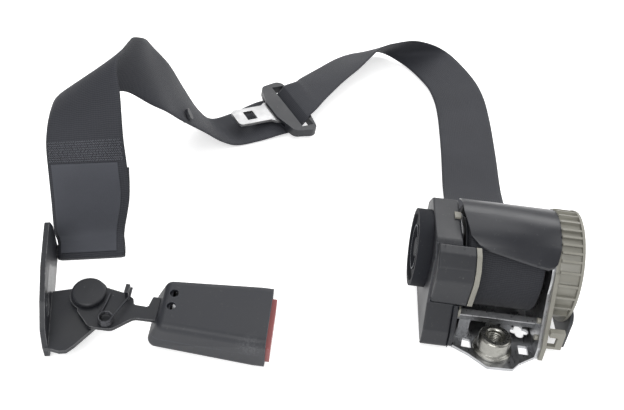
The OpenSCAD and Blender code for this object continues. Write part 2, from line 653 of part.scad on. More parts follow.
module ball_at(x, y, z, r) translate([x, y, z]) sphere(r, $fn = 32);
edge_r = 5;
module buckle_body() hull() for (s = [-1, 1]) {
    ball_at(stalk_reach + 8, s * (buckle_w / 2 - 8), shell_top - edge_r - 1.5, edge_r);
    ball_at(stalk_reach + 3, s * (buckle_w / 2 - 7), shell_z + edge_r - 2, edge_r);
    for (z = [shell_top - edge_r - 0.5, shell_z - shell_drop + edge_r])
        translate([buckle_end - 7, s * (buckle_w / 2 - edge_r), z]) rotate([0, 90, 0])
            cylinder(h = 7, r = edge_r, $fn = 32);
}
module buckle_cavity() {
    box([stalk_reach + 9, -chan_w / 2 - 2.2, shell_z + 2.2], [buckle_end - 13, chan_w / 2 + 2.2, slot_top]);
    box([button_room, -button_w / 2 - gap, button_z - gap],
        [buckle_end + past, button_w / 2 + gap, slot_top]);
    box([stalk_reach - 10, -stalk_w / 2 - gap, stalk_z - gap],
        [stalk_reach + 10, stalk_w / 2 + gap, stalk_z + stalk_t + gap]);
}
module spring_seats() for (s = [-1, 1])
    translate([seat_x, s * (spring_y + 1), 0]) box([0, -2.8, shell_z + 1], [seat_t, 2.8, seam_z]);
module buckle_lower() color(black) at_buckle() {
    difference() {
        intersection() {
            buckle_body();
            box([0, -60, -20], [200, 60, seam_z]);
        }
        buckle_cavity();
    }
    spring_seats();
}
module buckle_upper() color(black) at_buckle() difference() {
    intersection() {
        buckle_body();
        box([0, -60, seam_z], [200, 60, 60]);
    }
    buckle_cavity();
    for (y = [-2, 7]) round_z(slot_top - past, shell_top + past, 2.6, stalk_reach + 10, y);
}
module buckle_frame() color(steel) at_buckle() {
    chan_from = stalk_reach + 9.5;
    chan_to = buckle_end - 13.5;
    difference() {
        box([chan_from, -chan_w / 2, chan_z], [chan_to, chan_w / 2, slot_z]);
        translate([0, -buckle_y, 0]) stalk_rivet_holes(chan_z - past, slot_z + past);
        box([latch_x + 2, -6, chan_z - past], [latch_x + latch_l, 6, slot_z + past]);
    }
    for (y = [-chan_w / 2 - chan_t, chan_w / 2])
        box([chan_from, y, chan_z], [chan_to, y + chan_t, slot_top - gap]);
    box([ejector_stop, -4, slot_z], [ejector_stop + 1.2, 4, slot_top - 1]);
}
module stalk_rivets() color(zinc) at_buckle() for (s = [-1, 1]) translate([stalk_rivet_x, 5 * s, 0]) {
    round_z(stalk_z - 1.2, stalk_z, stalk_rivet_r + 1);
    round_z(stalk_z, slot_z, stalk_rivet_r);
    round_z(slot_z, slot_z + 1, stalk_rivet_r + 1);
}
module latch() color(steel) at_buckle() {
    box([latch_x, -8, chan_z - gap - latch_t], [latch_x + latch_l, 8, chan_z - gap]);
    box([latch_x + 6, -5, chan_z - gap], [latch_x + latch_l - 4, 5, slot_z - press]);
}
module ejector() color(red) at_buckle()
    box([ejector_x, -11, slot_z + gap], [ejector_x + 6, 11, slot_top - 0.8]);
module ejector_spring() color(steel) at_buckle()
    wire(helix_x(ejector_stop + 1.6, ejector_x - 0.4, 1.3, 6, 0, slot_z + 2.3), 0.3, 6);
module button() color(red) at_buckle() difference() {
    box([buckle_end - gap - button_l, -button_w / 2, button_z],
        [buckle_end + button_out, button_w / 2, chan_z - gap]);
    for (s = [-1, 1]) round_x(buckle_end - button_l - past, spring_end + gap, 2.8, s * spring_y, spring_z);
}
module button_springs() color(steel) at_buckle() for (s = [-1, 1])
    wire(helix_x(seat_x + seat_t + gap, spring_end, 2, 5, s * spring_y, spring_z), 0.35, 6);

// Tongue

module tongue_plate() color(steel) at_tongue() linear_extrude(tongue_t, center = true) difference() {
    polygon(rounded([[blade_l + 6, -blade_w / 2, 4], [blade_l + 6, blade_w / 2, 4], [15, blade_w / 2, 1],
                     [11, 13, 1.5], [2, 14, 2], [2, wing, 2], [-3, wing, 2], [-3, -wing, 2], [2, -wing, 2],
                     [2, -14, 2], [11, -13, 1.5], [15, -blade_w / 2, 1]]));
    translate([blade_l - 8, 0]) square(window, center = true);
}
module tongue_cover() color(black) at_tongue() difference() {
    linear_extrude(tongue_h, center = true)
        polygon(rounded([[10, -11, 4], [4, -tongue_l / 2 + 4, 6], [-16, -tongue_l / 2, 6], [-22, 0, 40],
                         [-16, tongue_l / 2, 6], [4, tongue_l / 2 - 4, 6], [10, 11, 4]]));
    translate([slot_x, 0, 0]) cube([slot_w, slot_l, tongue_h + 2 * past], center = true);
    linear_extrude(tongue_t + 2 * press, center = true)
        polygon([[20, -14], [2, -wing - past], [-3.4, -wing - past],
                 [-3.4, wing + past], [2, wing + past], [20, 14]]);
}

// Drawing of every node

frame();
mount_nut();
tie_bar();
frame_rivets();
spool();
spindle();
spool_bush(-wall_out, -wall_in);  // spool_bush_left
spool_bush(wall_in, wall_in - bush_flange);  // spool_bush_right
webbing_roll();
ratchet_wheel();
lock_pawl();
pawl_pin();
sensor_cover();
end_cap();
sensor_carrier();
sensor_ball();
sensor_lever();
cover_clips();
spring_plate();
spring_cover();
spring_lid();
spring_arbor();
power_spring();
roll_flap();
anchor_bracket();
pivot_washer();
pivot_rivet();
wire_spring();
buckle_stalk();
buckle_lower();
buckle_upper();
buckle_frame();
stalk_rivets();
latch();
ejector();
ejector_spring();
button();
button_springs();
tongue_plate();
tongue_cover();
webbing();
belt_label();
belt_stop();
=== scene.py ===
"""Rear seat belt set on a pale table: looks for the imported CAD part. Metres, +Z up."""
import json
import math
import random

import bpy
from mathutils import Matrix, Vector


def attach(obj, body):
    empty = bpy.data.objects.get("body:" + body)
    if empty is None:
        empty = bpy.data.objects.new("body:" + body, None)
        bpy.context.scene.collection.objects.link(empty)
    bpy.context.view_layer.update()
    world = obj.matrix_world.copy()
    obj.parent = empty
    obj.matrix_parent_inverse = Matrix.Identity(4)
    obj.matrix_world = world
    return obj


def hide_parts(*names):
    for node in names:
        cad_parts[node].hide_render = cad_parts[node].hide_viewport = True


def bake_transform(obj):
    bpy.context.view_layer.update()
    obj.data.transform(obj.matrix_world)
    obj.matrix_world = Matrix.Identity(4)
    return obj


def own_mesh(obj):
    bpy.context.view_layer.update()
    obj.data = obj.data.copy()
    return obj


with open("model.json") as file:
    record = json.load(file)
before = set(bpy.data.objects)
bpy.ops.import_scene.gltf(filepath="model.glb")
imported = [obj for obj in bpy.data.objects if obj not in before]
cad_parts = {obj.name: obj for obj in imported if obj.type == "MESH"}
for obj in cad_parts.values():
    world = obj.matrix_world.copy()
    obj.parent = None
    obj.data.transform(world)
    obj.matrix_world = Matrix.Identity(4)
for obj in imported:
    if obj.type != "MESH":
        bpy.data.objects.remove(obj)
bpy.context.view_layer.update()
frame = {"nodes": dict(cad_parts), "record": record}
nodes = frame["nodes"]
MM = 0.001

# The photograph's view
IMAGE_WIDTH = 624
FOCAL_PIXELS = 850
CAMERA_AT = Vector((-0.121, -0.389, 0.362))
CAMERA_DOWN = 34.7
CAMERA_ROLL = 7.2

# Sizes and places, as in the CAD source
BELT_W = 47 * MM
BELT_T = 1.2 * MM
ROLL_R = 31.5 * MM
LEAVE_R = ROLL_R + 0.9 * MM
HUB_R = 9.5 * MM
SPOOL = Vector((0, 45, 39.5)) * MM
TONGUE_AT = Vector((-157, 253, 11)) * MM
TONGUE_HEADING = 214
TONGUE_ROLL = -8
PIVOT = Vector((-244, -15, 9)) * MM
TILT = 14
BRACKET_TURN = 13
ARM_AT = Vector((-1, 41, 3.7)) * MM
FLANGE_FACE = -22 * MM
LABEL_SPAN = (32.75, 36.75)
LABEL_T = 0.4 * MM

# The patch's half width and middle, as shares of the belt's half width.
# It lies to the left, as in the photograph.
LABEL_SHARE = 0.84
LABEL_MIDDLE = -0.07


def turned(vector, axis, degrees):
    return Matrix.Rotation(math.radians(degrees), 3, axis) @ Vector(vector)


def on_tongue(x, y, z, share=1.0):
    at = TONGUE_AT + turned(turned(Vector((x, y, z)) * MM, "X", TONGUE_ROLL), "Z", TONGUE_HEADING)
    return (*at, TONGUE_HEADING - 90, -TONGUE_ROLL, share)


def on_arm(y, z, share):
    at = PIVOT + turned(turned(ARM_AT + Vector((0, y, z)) * MM, "Z", BRACKET_TURN), "X", TILT)
    line = turned(turned((1, 0, 0), "Z", BRACKET_TURN), "X", TILT)
    return (*at, math.degrees(math.atan2(line.y, line.x)), math.degrees(math.asin(line.z)), share)


# Each station: middle, heading and rise of the line across the belt, share of the full width. As in the CAD
# source, but gathered where the belt comes to the tongue.
ROUTE = [
    (0, SPOOL.y + LEAVE_R * math.cos(math.pi / 4), SPOOL.z + LEAVE_R * math.sin(math.pi / 4), 180, 0, 1),
    (0, 0.091, 0.0395, 180, 0, 1),
    (0.001, 0.124, 0.016, 180, 0, 1),
    (0.003, 0.174, 0.002, 180, 0, 1),
    (0.005, 0.238, 0.0015, 180, 0, 1),
    (0.005, 0.299, 0.003, 184, -4, 1),
    (0.002, 0.334, 0.005, 191, -8, 1),
    (-0.006, 0.366, 0.006, 197, -10, 1),
    (-0.027, 0.402, 0.009, 192, -17, 1),
    (-0.053, 0.406, 0.015, 153, -32, 1),
    (-0.073, 0.394, 0.017, 135, -34, 1),
    (-0.087, 0.384, 0.016, 133, -30, 1),
    (-0.097, 0.371, 0.014, 136, -24, 0.97),
    (-0.1077, 0.3501, 0.0139, 139.4, -17, 0.91),
    (-0.1217, 0.3212, 0.0145, 138.9, -9, 0.85),
    (-0.1335, 0.2906, 0.016, 130.9, 2, 0.84),
    (-0.138, 0.2751, 0.0173, 121.3, 8, 0.89),
    on_tongue(-16.6, -4.1, 4.8, 0.98),
    on_tongue(-13, -2, 3),
    on_tongue(-7, -1, -3),
    on_tongue(-3.4, 0, -4.8),
    on_tongue(13, 1, -5),
    (-0.186, 0.232, 0.002, 131, 2, 1),
    (-0.202, 0.221, 0.0015, 128, 1, 1),
    (-0.213, 0.212, 0.012, 127, 10, 1),
    (-0.224, 0.196, 0.034, 123, 23, 1),
    (-0.234, 0.173, 0.059, 116, 36, 1),
    (-0.244, 0.150, 0.082, 113, 48, 1),
    (-0.255, 0.128, 0.100, 70, 63, 0.8),
    (-0.266, 0.104, 0.105, 12, 52, 1),
    (-0.271, 0.084, 0.109, -2, 37, 1),
    (-0.267, 0.064, 0.102, -1, 20, 1),
    (-0.263, 0.048, 0.087, 6, 9, 1),
    (-0.259, 0.039, 0.070, 13, 3, 1),
    (-0.257, 0.035, 0.052, 16, 2, 1),
    (-0.257, 0.030, 0.033, 15, 2, 0.92),
    on_arm(3.6, 4.4, 0.86),
    on_arm(-5.4, 1.3, 0.86),
    on_arm(-2.3, -5, 0.86),
    on_arm(6, -3.5, 0.86),
    on_arm(12.6, 5.1, 0.86),
    (-0.2575, 0.0385, 0.049, 16, 2, 0.98),
    (-0.259, 0.043, 0.069, 13, 3, 1),
]
LAST = len(ROUTE) - 1


def station(u):
    """Smooth value between the stations at u."""
    u = max(0.0, min(u, LAST))
    i = min(int(u), LAST - 1)
    t = u - i
    values = []
    for a, b, c, d in zip(ROUTE[max(i - 1, 0)], ROUTE[i], ROUTE[i + 1], ROUTE[min(i + 2, LAST)]):
        slope = (c - a) / 2
        bend = (2 * a - 5 * b + 4 * c - d) / 2
        twist = (3 * b - a - 3 * c + d) / 2
        values.append(b + t * (slope + t * (bend + t * twist)))
    return values


def middle(u):
    return Vector(station(u)[:3])


def across(u):
    heading, rise = (math.radians(v) for v in station(u)[3:5])
    return Vector((math.cos(rise) * math.cos(heading), math.cos(rise) * math.sin(heading), math.sin(rise)))


def facing(u):
    nearby = 0.02
    return (middle(u + nearby) - middle(u - nearby)).cross(across(u)).normalized()


def on_belt(u, v, lift):
    """Point at u along the belt, v from -1 to 1 across it, lifted off its middle."""
    share = station(u)[5]
    return middle(u) + across(u) * (v * BELT_W / 2 * share) + facing(u) * lift


def lengths(places):
    """The length of the way to each of the places in turn."""
    so_far = [0.0]
    for before, here in zip(places, places[1:]):
        so_far.append(so_far[-1] + (here - before).length)
    return so_far


# Mesh helpers

def new_object(name, verts, faces, uvs=None):
    mesh = bpy.data.meshes.new(name)
    mesh.from_pydata([tuple(v) for v in verts], [], faces)
    if uvs:
        layer = mesh.uv_layers.new(name="UVMap")
        for loop in mesh.loops:
            layer.data[loop.index].uv = uvs[loop.vertex_index]
    for polygon in mesh.polygons:
        polygon.use_smooth = True
    mesh.update()
    obj = bpy.data.objects.new(name, mesh)
    bpy.context.scene.collection.objects.link(obj)
    return obj


# A strip keeps this share of its thickness at its edges, and the power says how late it thins
EDGE_LEFT = 0.12
EDGE_POWER = 14


def ribbon(name, rows, half_t):
    """Closed cloth strip. Each row has the length so far and, across it, points, normals and shares."""
    verts, uvs, faces = [], [], []
    for length, points in rows:
        n = len(points)
        for side in (1, -1):
            order = points if side > 0 else points[::-1]
            for place, normal, v in order:
                full = max(0.0, 1 - abs(v) ** EDGE_POWER) ** 0.5
                verts.append(place + normal * (side * half_t * (EDGE_LEFT + (1 - EDGE_LEFT) * full)))
                uvs.append((length / MM, v * BELT_W / 2 / MM))
    ring = 2 * n
    for i in range(len(rows) - 1):
        for k in range(ring):
            a, b = i * ring + k, i * ring + (k + 1) % ring
            faces.append((a, a + ring, b + ring, b))
    faces.append(tuple(range(ring)))
    faces.append(tuple(range((len(rows) - 1) * ring, len(rows) * ring))[::-1])
    return new_object(name, verts, faces, uvs)


# Rings of a stitch: share of its length, share of the thread's radius, lift off the cloth in radii
STITCH = ((0, 0.45, 0), (0.25, 1, 0.8), (0.75, 1, 0.8), (1, 0.45, 0))
STITCH_SIDES = 6


def threads(name, segments, radius):
    """Short sewing stitches: each a slim pinched bar from p to q, proud of the cloth along normal."""
    verts, faces = [], []
    for p, q, normal in segments:
        along = (q - p).normalized()
        side = along.cross(normal).normalized()
        base = len(verts)
        for share, size, lift in STITCH:
            centre = p.lerp(q, share) + normal * (radius * lift)
            for k in range(STITCH_SIDES):
                a = 2 * math.pi / STITCH_SIDES * k
                verts.append(centre + (side * math.cos(a) + normal * math.sin(a)) * (radius * size))
        for ring in range(base, len(verts) - STITCH_SIDES, STITCH_SIDES):
            for k in range(STITCH_SIDES):
                after = (k + 1) % STITCH_SIDES
                faces.append((ring + k, ring + STITCH_SIDES + k, ring + STITCH_SIDES + after, ring + after))
        faces.append(tuple(range(base, base + STITCH_SIDES)))
        faces.append(tuple(range(len(verts) - STITCH_SIDES, len(verts)))[::-1])
    return new_object(name, verts, faces)


# Materials

# Places of the colour sockets on a mix node, which shares its names with the other kinds of value
COLOUR_A, COLOUR_B, COLOUR_OUT = 6, 7, 2

DUST = (0.42, 0.41, 0.39)
# Pale marks on plastic: scuffs on the buckle, and the end cap's ring, which is a painted highlight
SCUFF_AND_HIGHLIGHT_PLASTIC = (0.3, 0.31, 0.33)
CHIPPED_PAINT = (0.34, 0.34, 0.35)
# Pale edge colour on the black paint: partly wear, partly a painted highlight
WORN_AND_HIGHLIT_PAINT = (0.2, 0.2, 0.206)
FUZZ = (0.3, 0.305, 0.32)
EDGE_REACH = 0.9 * MM

# Marks in the materials: the pale ring in the end cap, which is a painted highlight, the scuffs on the buckle,
# and the bare strip on the bracket's flange, whose three ends each fade from the first value to the second
CAP_RING_R = 13.8 * MM
CAP_RING_HALF = 0.35 * MM
SCUFFED_CORNER = Vector((-146, -43, 19)) * MM
SCUFF_REACH = (1 * MM, 9.5 * MM)
STRIP_DEPTH = 0.4 * MM
STRIP_LEAN = 0.7
STRIP_RAGGED = 1.2 * MM
STRIP_LOW = (12.6 * MM, 13.2 * MM)
STRIP_HIGH = (31 * MM, 33 * MM)
STRIP_REAR = (23 * MM, 24 * MM)


class Nodes:
    """Short way to write a node material."""

    def __init__(self, name):
        self.material = bpy.data.materials.new(name)
        self.material.use_nodes = True
        self.tree = self.material.node_tree
        self.shader = self.tree.nodes["Principled BSDF"]

    def add(self, kind, inputs=None, **settings):
        node = self.tree.nodes.new(kind)
        for key, value in settings.items():
            setattr(node, key, value)
        for key, value in (inputs or {}).items():
            self.put(value, node.inputs[key])
        return node

    def put(self, value, socket):
        if isinstance(value, bpy.types.NodeSocket):
            self.tree.links.new(value, socket)
        elif hasattr(socket.default_value, "__len__") and len(socket.default_value) == 4 and len(value) == 3:
            socket.default_value = (*value, 1)
        else:
            socket.default_value = value

    def set(self, **sockets):
        for key, value in sockets.items():
            self.put(value, self.shader.inputs[key.replace("_", " ")])

    def math(self, operation, *values):
        node = self.add("ShaderNodeMath", operation=operation)
        for i, value in enumerate(values):
            self.put(value, node.inputs[i])
        return node.outputs[0]

    def vector_value(self, operation, a, b):
        return self.add("ShaderNodeVectorMath", {0: a, 1: b}, operation=operation).outputs["Value"]

    def place(self):
        return self.add("ShaderNodeTexCoord").outputs["Object"]

    def noise(self, scale, detail=3.0, roughness=0.55, at=None):
        node = self.add("ShaderNodeTexNoise", {"Scale": scale, "Detail": detail, "Roughness": roughness})
        self.put(at or self.place(), node.inputs["Vector"])
        return node.outputs["Fac"]

    def between(self, value, low, high, start=0.35, end=0.65):
        return self.add("ShaderNodeMapRange", {"Value": value, "From Min": start, "From Max": end,
                                               "To Min": low, "To Max": high}).outputs[0]

    def mix(self, share, a, b):
        node = self.add("ShaderNodeMix", data_type="RGBA")
        self.put(share, node.inputs["Factor"])
        self.put(a, node.inputs[COLOUR_A])
        self.put(b, node.inputs[COLOUR_B])
        return node.outputs[COLOUR_OUT]

    def bump(self, height, strength, distance, under=None):
        node = self.add("ShaderNodeBump", {"Height": height, "Strength": strength, "Distance": distance})
        if under:
            self.put(under, node.inputs["Normal"])
        return node.outputs["Normal"]


def shade(colour, factor):
    return tuple(min(1.0, c * factor) for c in colour)


def cap_ring_highlight(m):
    """Share of the paler ring round the recess in the end cap: a painted highlight."""
    place = m.add("ShaderNodeSeparateXYZ", {"Vector": m.place()}).outputs
    off_y = m.math("SUBTRACT", place[1], SPOOL.y)
    off_z = m.math("SUBTRACT", place[2], SPOOL.z)
    radius = m.math("SQRT", m.math("ADD", m.math("POWER", off_y, 2), m.math("POWER", off_z, 2)))
    return m.math("COMPARE", radius, CAP_RING_R, CAP_RING_HALF)


def buckle_scuffs(m):
    """Share of the pale scuffs by the buckle's front corner."""
    away = m.vector_value("DISTANCE", m.place(), SCUFFED_CORNER)
    marks = m.between(m.noise(800, 6, 0.75), 0, 0.28, 0.42, 0.7)
    return m.math("MULTIPLY", m.between(away, 1, 0, *SCUFF_REACH), marks)


def edge_wear_and_highlight(m, most):
    """Share of wear and painted highlight along the edges, broken up so that no edge is evenly pale."""
    rounded = m.add("ShaderNodeBevel", {"Radius": EDGE_REACH}, samples=6).outputs[0]
    flat = m.add("ShaderNodeNewGeometry").outputs["True Normal"]
    same = m.vector_value("DOT_PRODUCT", rounded, flat)
    patches = m.between(m.noise(240, 5, 0.65), 0.15 * most, most, 0.38, 0.62)
    return m.math("MULTIPLY", m.between(same, 1, 0, 0.9, 0.985), patches)


def moulded(name, colour, roughness, grain=1400, grain_height=0.05, dust=0.06, level=0.5, scuffs_and_highlight=None,
            edges=0.0):
    """Moulded plastic: fine grain, uneven gloss, a little dust, and where asked pale marks and paler edges;
    the edges are partly wear and partly a painted highlight, the marks are the buckle's scuffs and the end
    cap's painted highlight ring.
    """
    m = Nodes(name)
    broad = m.noise(38, 4)
    fine = m.noise(grain, 2)
    tone = m.mix(m.between(broad, 0, 1, 0.1, 0.9), shade(colour, 0.8), shade(colour, 1.2))
    specks = m.between(m.noise(420, 5, 0.7), 0, dust * 3, 0.62, 0.78)
    dust_and_highlight = m.mix(specks, tone, DUST)
    if edges:
        # Paler edges, a lighter copy of the plastic's colour: partly wear, partly a painted highlight
        dust_and_highlight = m.mix(edge_wear_and_highlight(m, edges), dust_and_highlight, shade(colour, 3.5))
    if scuffs_and_highlight:
        # Pale marks: scuffs on the buckle, a painted highlight ring in the end cap
        dust_and_highlight = m.mix(scuffs_and_highlight(m), dust_and_highlight, SCUFF_AND_HIGHLIGHT_PLASTIC)
    m.set(Base_Color=dust_and_highlight, Roughness=m.between(broad, roughness - 0.1, roughness + 0.12, 0.1, 0.9),
          Specular_IOR_Level=level, Normal=m.bump(fine, 0.5, grain_height * MM))
    return m.material


def metal(name, colour, roughness, streak=(1, 1, 1), spangle=0.0, stain=None, metallic=1.0):
    """Bare or plated steel: streaks from working, optional spangle, dull marks."""
    m = Nodes(name)
    stretch = m.add("ShaderNodeMapping", {"Vector": m.place(), "Scale": streak}).outputs[0]
    streaks = m.noise(900, 3, 0.6, stretch)
    blotch = m.noise(70, 4, 0.6)
    tone = m.mix(m.between(blotch, 0, 1), shade(colour, 0.82), shade(colour, 1.1))
    if spangle:
        cells = m.add("ShaderNodeTexVoronoi", {"Scale": 210.0, "Vector": m.place()})
        flake = m.between(cells.outputs["Color"], 0, spangle, 0, 1)
        tone = m.mix(flake, tone, shade(colour, 1.35))
    if stain:
        marks = m.between(m.noise(150, 6, 0.68), 0, 0.8, 0.56, 0.72)
        tone = m.mix(marks, tone, stain)
    m.set(Base_Color=tone, Metallic=metallic,
          Roughness=m.between(streaks, roughness - 0.08, roughness + 0.12, 0.3, 0.7),
          Normal=m.bump(streaks, 0.25, 0.03 * MM))
    return m.material


def bare_strip(m):
    """Share of bare steel on the inner face of the bracket's flange, between its base and the belt's loop."""
    local = []
    for unit in ((1, 0, 0), (0, 1, 0), (0, 0, 1)):
        axis = turned(turned(unit, "Z", BRACKET_TURN), "X", TILT)
        local.append(m.math("SUBTRACT", m.vector_value("DOT_PRODUCT", m.place(), axis), PIVOT.dot(axis)))
    face = m.math("COMPARE", local[0], FLANGE_FACE, STRIP_DEPTH)
    height = m.math("ADD", local[1], m.math("MULTIPLY", local[2], STRIP_LEAN))
    height = m.math("ADD", height, m.between(m.noise(500, 4), -STRIP_RAGGED, STRIP_RAGGED, 0.2, 0.8))
    low = m.between(height, 0, 1, *STRIP_LOW)
    high = m.between(height, 1, 0, *STRIP_HIGH)
    rear = m.between(local[2], 1, 0, *STRIP_REAR)
    return m.math("MULTIPLY", m.math("MULTIPLY", face, low), m.math("MULTIPLY", high, rear))


def painted(name, colour, roughness, chips=0.5, bare=None):
    """Black paint on steel: scuffed paler in patches, chipped to grey in small places and worn along its
    edges, the pale edges partly a painted highlight.
    """
    m = Nodes(name)
    broad = m.noise(45, 4)
    worn = m.between(m.noise(330, 6, 0.72), 0, chips, 0.66, 0.74)
    rub = m.between(m.noise(95, 5, 0.66), 0, 0.35, 0.6, 0.8)
    tone = m.mix(m.between(broad, 0, 1), shade(colour, 0.85), shade(colour, 1.2))
    tone = m.mix(rub, tone, shade(colour, 2.4))
    tone = m.mix(worn, tone, CHIPPED_PAINT)
    # Pale edges: partly worn paint, partly a painted highlight
    tone = m.mix(edge_wear_and_highlight(m, 0.8), tone, WORN_AND_HIGHLIT_PAINT)
    if bare:
        scratched = m.between(m.noise(900, 4, 0.7), 0.22, 0.46, 0.3, 0.7)
        grey = {"Red": scratched, "Green": scratched, "Blue": scratched}
        steel = m.add("ShaderNodeCombineColor", grey).outputs[0]
        tone = m.mix(bare(m), tone, steel)
    m.set(Base_Color=tone, Roughness=m.between(broad, roughness - 0.05, roughness + 0.1),
          Normal=m.bump(m.noise(700, 3), 0.35, 0.05 * MM))
    return m.material


def cloth(name, colour, rib=1.55, pick=1.25, height=0.2, sheen=0.08):
    """Webbing: fine lines of weft across the belt over faint ribs of warp. UVs are millimetres."""
    m = Nodes(name)
    uv = m.add("ShaderNodeSeparateXYZ", {"Vector": m.add("ShaderNodeUVMap").outputs[0]})
    along, over = uv.outputs[0], uv.outputs[1]
    ribs = m.math("DIVIDE", over, rib)
    rib_wave = m.math("PINGPONG", m.math("FRACT", ribs), 0.5)
    step = m.math("MULTIPLY", m.math("PINGPONG", m.math("FLOOR", ribs), 3), 0.11)
    picks = m.math("ADD", m.math("DIVIDE", along, pick), step)
    pick_wave = m.math("PINGPONG", m.math("FRACT", picks), 0.5)
    weave = m.math("ADD", m.math("MULTIPLY", rib_wave, 0.5), m.math("MULTIPLY", pick_wave, 1.5))
    broad = m.noise(26, 4)
    fuzz = m.noise(2600, 2)
    tone = m.mix(m.between(weave, 0, 1, 0.15, 0.85), shade(colour, 0.66), shade(colour, 1.26))
    tone = m.mix(m.between(broad, 0, 0.6, 0.15, 0.85), tone, shade(colour, 1.4))
    tone = m.mix(m.between(fuzz, 0, 0.1, 0.6, 0.8), tone, FUZZ)
    m.set(Base_Color=tone, Roughness=m.between(weave, 0.8, 0.64, 0.2, 0.8), Specular_IOR_Level=0.3,
          Sheen_Weight=sheen, Sheen_Roughness=0.45, Normal=m.bump(weave, 0.7, height * MM))
    return m.material


LOOKS = {
    "galvanised_steel": metal("galvanised", (0.42, 0.425, 0.435), 0.32, (1, 0.2, 1), 0.25, (0.2, 0.2, 0.21)),
    "zinc_plated_steel": metal("zinc", (0.34, 0.336, 0.31), 0.28, (1, 1, 8), 0.0, (0.13, 0.126, 0.11)),
    "bright_steel": metal("bright_steel", (0.43, 0.43, 0.434), 0.42, (6, 1, 1)),
    "dark_steel": metal("spring_steel", (0.07, 0.071, 0.078), 0.42, (1, 1, 1), 0.0, None, 0.8),
    "black_paint": painted("black_paint", (0.0105, 0.0115, 0.015), 0.5),
    "black_plastic": moulded("black_moulding", (0.0135, 0.0147, 0.0188), 0.45, edges=0.6),
    "buckle_plastic": moulded("buckle_moulding", (0.018, 0.0196, 0.025), 0.5, 2200, 0.07, 0.03, 0.5,
                              buckle_scuffs, 0.6),
    "dark_flap": moulded("flap_sheet", (0.02, 0.0212, 0.0262), 0.32, 300, 0.03, 0.05),
    "beige_plastic": moulded("natural_moulding", (0.25, 0.243, 0.21), 0.44, 1000, 0.03, 0.0),
    "red_plastic": moulded("red_moulding", (0.31, 0.08, 0.078), 0.4, 1600, 0.03, 0.02),
    "belt_cloth": cloth("webbing_weave", (0.0275, 0.029, 0.0355)),
    "belt_label": cloth("patch_weave", (0.055, 0.058, 0.069), 0.6, 0.6, 0.05),
}
sewing_thread = moulded("sewing_thread", (0.1, 0.104, 0.12), 0.6, 3000, 0.05, 0.0)
# The end cap's pale ring is a painted highlight
cap_plastic = moulded("cap_moulding", (0.0135, 0.0147, 0.0188), 0.72, 1400, 0.05, 0.03, 0.2, cap_ring_highlight)
# Webbing on the spool: the belt's weave in a darker colour, which is painted shade
roll_cloth_shaded = cloth("roll_weave_shaded", (0.0205, 0.0216, 0.0265), height=0.3)
bracket_paint = painted("bracket_paint", (0.0125, 0.0137, 0.0175), 0.46, 0.5, bare_strip)


def dress(obj, slot):
    obj.data.materials.clear()
    obj.data.materials.append(LOOKS[slot])


for part in frame["record"]["subparts"]:
    dress(nodes[part["node"]], part["material_slot"])
nodes["anchor_bracket"].data.materials[0] = bracket_paint
nodes["end_cap"].data.materials[0] = cap_plastic
dress(nodes["tongue_plate"], "bright_steel")

# Small rounded edges on the hard pieces, in millimetres. An edge is sharper than EDGE_ANGLE degrees.
SOFT_NODES = {"webbing", "webbing_roll", "belt_label", "wire_spring", "ejector_spring", "button_springs",
              "power_spring"}
PLAIN_EDGE = 0.25
EDGE_ANGLE = 38
WELD_GAP = 0.002
EDGE = {"sensor_cover": 1.2, "button": 1.6, "buckle_upper": 0.5, "buckle_lower": 0.5, "end_cap": 0.6,
        "tongue_cover": 1.4, "anchor_bracket": 0.5, "spring_cover": 0.3, "frame": 0.3, "roll_flap": 0.3}
for name, obj in nodes.items():
    if name in SOFT_NODES:
        continue
    weld = obj.modifiers.new("weld", "WELD")
    weld.merge_threshold = WELD_GAP * MM
    bevel = obj.modifiers.new("edges", "BEVEL")
    bevel.width = EDGE.get(name, PLAIN_EDGE) * MM
    bevel.segments = 4 if bevel.width > 1 * MM else 2
    bevel.limit_method = "ANGLE"
    bevel.angle_limit = math.radians(EDGE_ANGLE)
    bevel.use_clamp_overlap = name != "sensor_cover"
    bevel.harden_normals = False

# Webbing
STEPS = 12
ACROSS = 18
RIPPLE = 0.25 * MM
RIPPLE_LENGTH = 0.021

# How far the belt curls across its width, in millimetres. The curl sways along the belt.
CURL = 0.9
CURL_SWAY = 0.5
SWAY_RATE = 1.7

# Stations where the belt is held flat, at the reel, the tongue and the bracket's arm, and how far each reaches
HELD = ((0, 1.5), (18.5, 4.5), (38, 5.5))
FLAT_SHARE = 0.6
LOOSE_AFTER = 2.5


def looseness(u):
    """How free the belt is to curl at u, from 0 where it is held to 1."""
    return min(1.0, min(max(0.0, (abs(u - at) - reach * FLAT_SHARE) / LOOSE_AFTER) for at, reach in HELD))


belt_u = [i / STEPS for i in range(LAST * STEPS + 1)]
rows = []
for u, length in zip(belt_u, lengths([middle(u) for u in belt_u])):
    curl = looseness(u) * (CURL + CURL_SWAY * math.sin(u * SWAY_RATE)) * MM
    points = []
    for k in range(ACROSS + 1):
        v = -1 + 2 * k / ACROSS
        ripple = looseness(u) * RIPPLE * math.sin(length / RIPPLE_LENGTH + 2.2 * v) * v * v
        points.append((on_belt(u, v, curl * (0.4 - v * v) + ripple), facing(u), v))
    rows.append((length, points))


def strand(name, first, last):
    """The belt between two stations, and its length."""
    piece = ribbon(name, rows[first * STEPS:last * STEPS + 1], BELT_T / 2)
    dress(piece, "belt_cloth")
    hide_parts("webbing")
    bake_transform(piece)
    return piece, rows[last * STEPS][0] - rows[first * STEPS][0]


# The two strands meet inside the tongue's slot
IN_SLOT = 19
reel_strand, reel_length = strand("webbing_reel_side", 0, IN_SLOT)
bracket_strand, bracket_length = strand("webbing_bracket_side", IN_SLOT, LAST)

